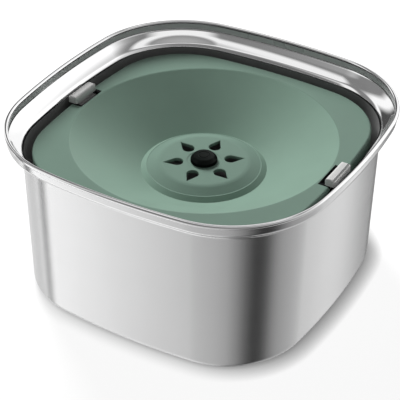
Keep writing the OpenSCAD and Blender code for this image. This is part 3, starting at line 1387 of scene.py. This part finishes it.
@dataclass
class Studio:
    """Pale floor, soft studio light and the camera, with compass angles in degrees from the front."""

    eye: Point3 = (393.63, -679.39, 601.37)
    target: Point3 = (1.67, -7.82, 57.34)
    roll: float = 0.53
    lens: float = 121.35
    sensor: float = 36.0
    floor_size: float = 12.0
    floor_z: float = -0.0002
    floor_lift: float = 0.9
    floor_albedo: float = 0.2
    shade_reach: float = 0.013
    shade_samples: int = 32
    shade_lean: Point3 = (-0.72, -0.24, 0.65)
    lamp_place: Point3 = (-0.85, 0.665, 0.75)
    lamp_aim: Point3 = (0.0, 0.0, 0.09)
    lamp_size: float = 0.5
    lamp_power: float = 25.0
    fill: float = 0.185
    banks_rise: Point2 = (-0.22, -0.06)
    ceiling_rise: Point2 = (0.6, 0.85)
    screens: tuple[Point2, ...] = (
        (-180, 0.2), (-150, 0.12), (-138, 0.12), (-128, 0.95), (-105, 0.75), (-88, 0.62), (-83, 1.4),
        (-79, 1.4), (-77, 0.0), (-67.5, 0.0), (-65, 1.4), (-54, 1.2), (-40, 0.97), (-29, 0.78), (-15, 0.6),
        (15, 0.51), (30, 0.43), (44, 0.27), (54, 0.13), (64, 0.035), (74, 0.03), (80, 0.07), (88, 0.2),
        (96, 0.33), (126, 0.47), (143, 0.62), (152, 0.95), (157, 1.1), (161, 0.7), (166, 0.25), (180, 0.2),
    )
    banks: tuple[Point2, ...] = (
        (-180, 1.1), (-152, 1.1), (-145, 0.08), (-120, 0.08), (-113, 1.1), (-104, 1.1), (-96, 0.25),
        (-68, 0.25), (-58, 1.0), (-42, 1.0), (-32, 0.2), (0, 0.2), (45, 0.25), (80, 0.45), (120, 0.8),
        (138, 1.25), (168, 1.25), (180, 1.1),
    )
    ceiling: tuple[Point2, ...] = (
        (0.6, 0.2), (0.84, 0.24), (0.88, 1.0), (0.92, 1.0), (0.95, 0.3), (1.0, 0.45),
    )

    def camera(self) -> None:
        """Sets the camera where the photograph was taken from."""
        data = bpy.data.cameras.new("camera")
        data.lens = self.lens
        data.sensor_width = self.sensor
        data.sensor_fit = "HORIZONTAL"
        camera = bpy.data.objects.new("camera", data)
        aim = (Vector(self.target) - Vector(self.eye)).to_track_quat("-Z", "Y").to_matrix().to_4x4()
        turn = Matrix.Rotation(math.radians(self.roll), 4, "Z")
        camera.matrix_world = Matrix.Translation(Vector(self.eye) * MM) @ aim @ turn
        bpy.context.scene.collection.objects.link(camera)
        bpy.context.scene.camera = camera

    def floor(self) -> None:
        """Lays the pale floor, which shows white where no shadow falls."""
        bpy.ops.object.select_all(action="DESELECT")
        bpy.ops.mesh.primitive_plane_add(size=self.floor_size, location=(0, 0, self.floor_z))
        floor = bpy.context.active_object
        floor.name = "studio_floor"
        floor.visible_glossy = False
        material = bpy.data.materials.new("studio_floor")
        sketch = NodeSketch(material)
        sketch.tree.nodes.clear()
        matt = sketch.add("ShaderNodeBsdfDiffuse", Color=(self.floor_albedo,) * 3 + (1.0,))
        lean = sketch.add("ShaderNodeCombineXYZ", **dict(zip("XYZ", self.shade_lean)))
        shade = sketch.add("ShaderNodeAmbientOcclusion", samples=self.shade_samples)
        shade.inputs["Distance"].default_value = self.shade_reach
        sketch.link(lean.outputs["Vector"], shade.inputs["Normal"])
        rays = sketch.add("ShaderNodeLightPath")
        level = sketch.calc("MULTIPLY", shade.outputs["AO"], self.floor_lift)
        lift = sketch.add("ShaderNodeEmission")
        sketch.link(sketch.calc("MULTIPLY", rays.outputs["Is Camera Ray"], level), lift.inputs["Strength"])
        total = sketch.add("ShaderNodeAddShader")
        sketch.link(matt.outputs["BSDF"], total.inputs[0])
        sketch.link(lift.outputs["Emission"], total.inputs[1])
        out = sketch.add("ShaderNodeOutputMaterial")
        sketch.link(total.outputs["Shader"], out.inputs["Surface"])
        floor.data.materials.append(material)

    @staticmethod
    def greys(stops: tuple[Point2, ...]) -> list[tuple[float, Point3]]:
        """Turns brightnesses into grey colours."""
        return [(position, (tone, tone, tone)) for position, tone in stops]

    def by_compass(self, turns: tuple[Point2, ...]) -> list[tuple[float, Point3]]:
        """Turns compass angles into positions on a ramp that starts and ends at the back."""
        return self.greys(tuple((turn / 360 + 0.5, tone) for turn, tone in turns))

    def world(self) -> None:
        """Makes the surroundings: screens, light banks and a ceiling, and white to the camera."""
        world = bpy.data.worlds.new("studio")
        bpy.context.scene.world = world
        world.cycles.sampling_method = "NONE"
        sketch = NodeSketch(world)
        sketch.tree.nodes.clear()
        place = sketch.add("ShaderNodeTexCoord")
        axes = sketch.add("ShaderNodeSeparateXYZ")
        sketch.link(place.outputs["Generated"], axes.inputs["Vector"])
        height = axes.outputs["Z"]
        front = sketch.calc("MULTIPLY", axes.outputs["Y"], -1.0)
        compass = sketch.remap(sketch.calc("ARCTAN2", axes.outputs["X"], front), (-math.pi, math.pi))
        tone = sketch.ramp(compass, self.by_compass(self.screens))
        banks = sketch.ramp(compass, self.by_compass(self.banks))
        ceiling = sketch.ramp(height, self.greys(self.ceiling))
        for upper, rise in ((banks, self.banks_rise), (ceiling, self.ceiling_rise)):
            tone = sketch.mix(sketch.remap(height, rise, way="SMOOTHSTEP"), tone, upper)
        rays = sketch.add("ShaderNodeLightPath")
        for ray, plain in (("Is Diffuse Ray", self.fill), ("Is Camera Ray", 1.0)):
            tone = sketch.mix(rays.outputs[ray], tone, plain)
        glow = sketch.add("ShaderNodeBackground")
        out = sketch.add("ShaderNodeOutputWorld")
        sketch.link(tone, glow.inputs["Color"])
        sketch.link(glow.outputs["Background"], out.inputs["Surface"])

    def key_lamp(self) -> None:
        """Hangs one soft round lamp that faces the bowl."""
        data = bpy.data.lights.new("key_lamp", "AREA")
        data.shape = "DISK"
        data.size = self.lamp_size
        data.energy = self.lamp_power
        lamp = bpy.data.objects.new("key_lamp", data)
        lamp.visible_glossy = False
        lamp.location = self.lamp_place
        aim = Vector(self.lamp_aim) - Vector(self.lamp_place)
        lamp.rotation_euler = aim.to_track_quat("-Z", "Y").to_euler()
        bpy.context.scene.collection.objects.link(lamp)

    def build(self) -> None:
        """Sets up the whole studio."""
        self.camera()
        self.floor()
        self.world()
        self.key_lamp()
        bpy.context.scene.view_settings.view_transform = "Standard"


def main() -> None:
    """Loads the frame, builds every piece and the studio, and notes the sizes."""
    logging.basicConfig(level=logging.INFO, format="%(name)s: %(message)s")
    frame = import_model()
    finishes = Finishes()
    outline = RimOutline()
    for part in (
        BowlShell(outline),
        BaseRing(),
        FloatPlate(outline),
        CentreCap(),
        Latch(Side.RIGHT),
        Latch(Side.LEFT),
    ):
        part.dress(part.build(), finishes)
    KeptSolids(frame).dress(finishes)
    Studio().build()


if __name__ == "__main__":
    main()
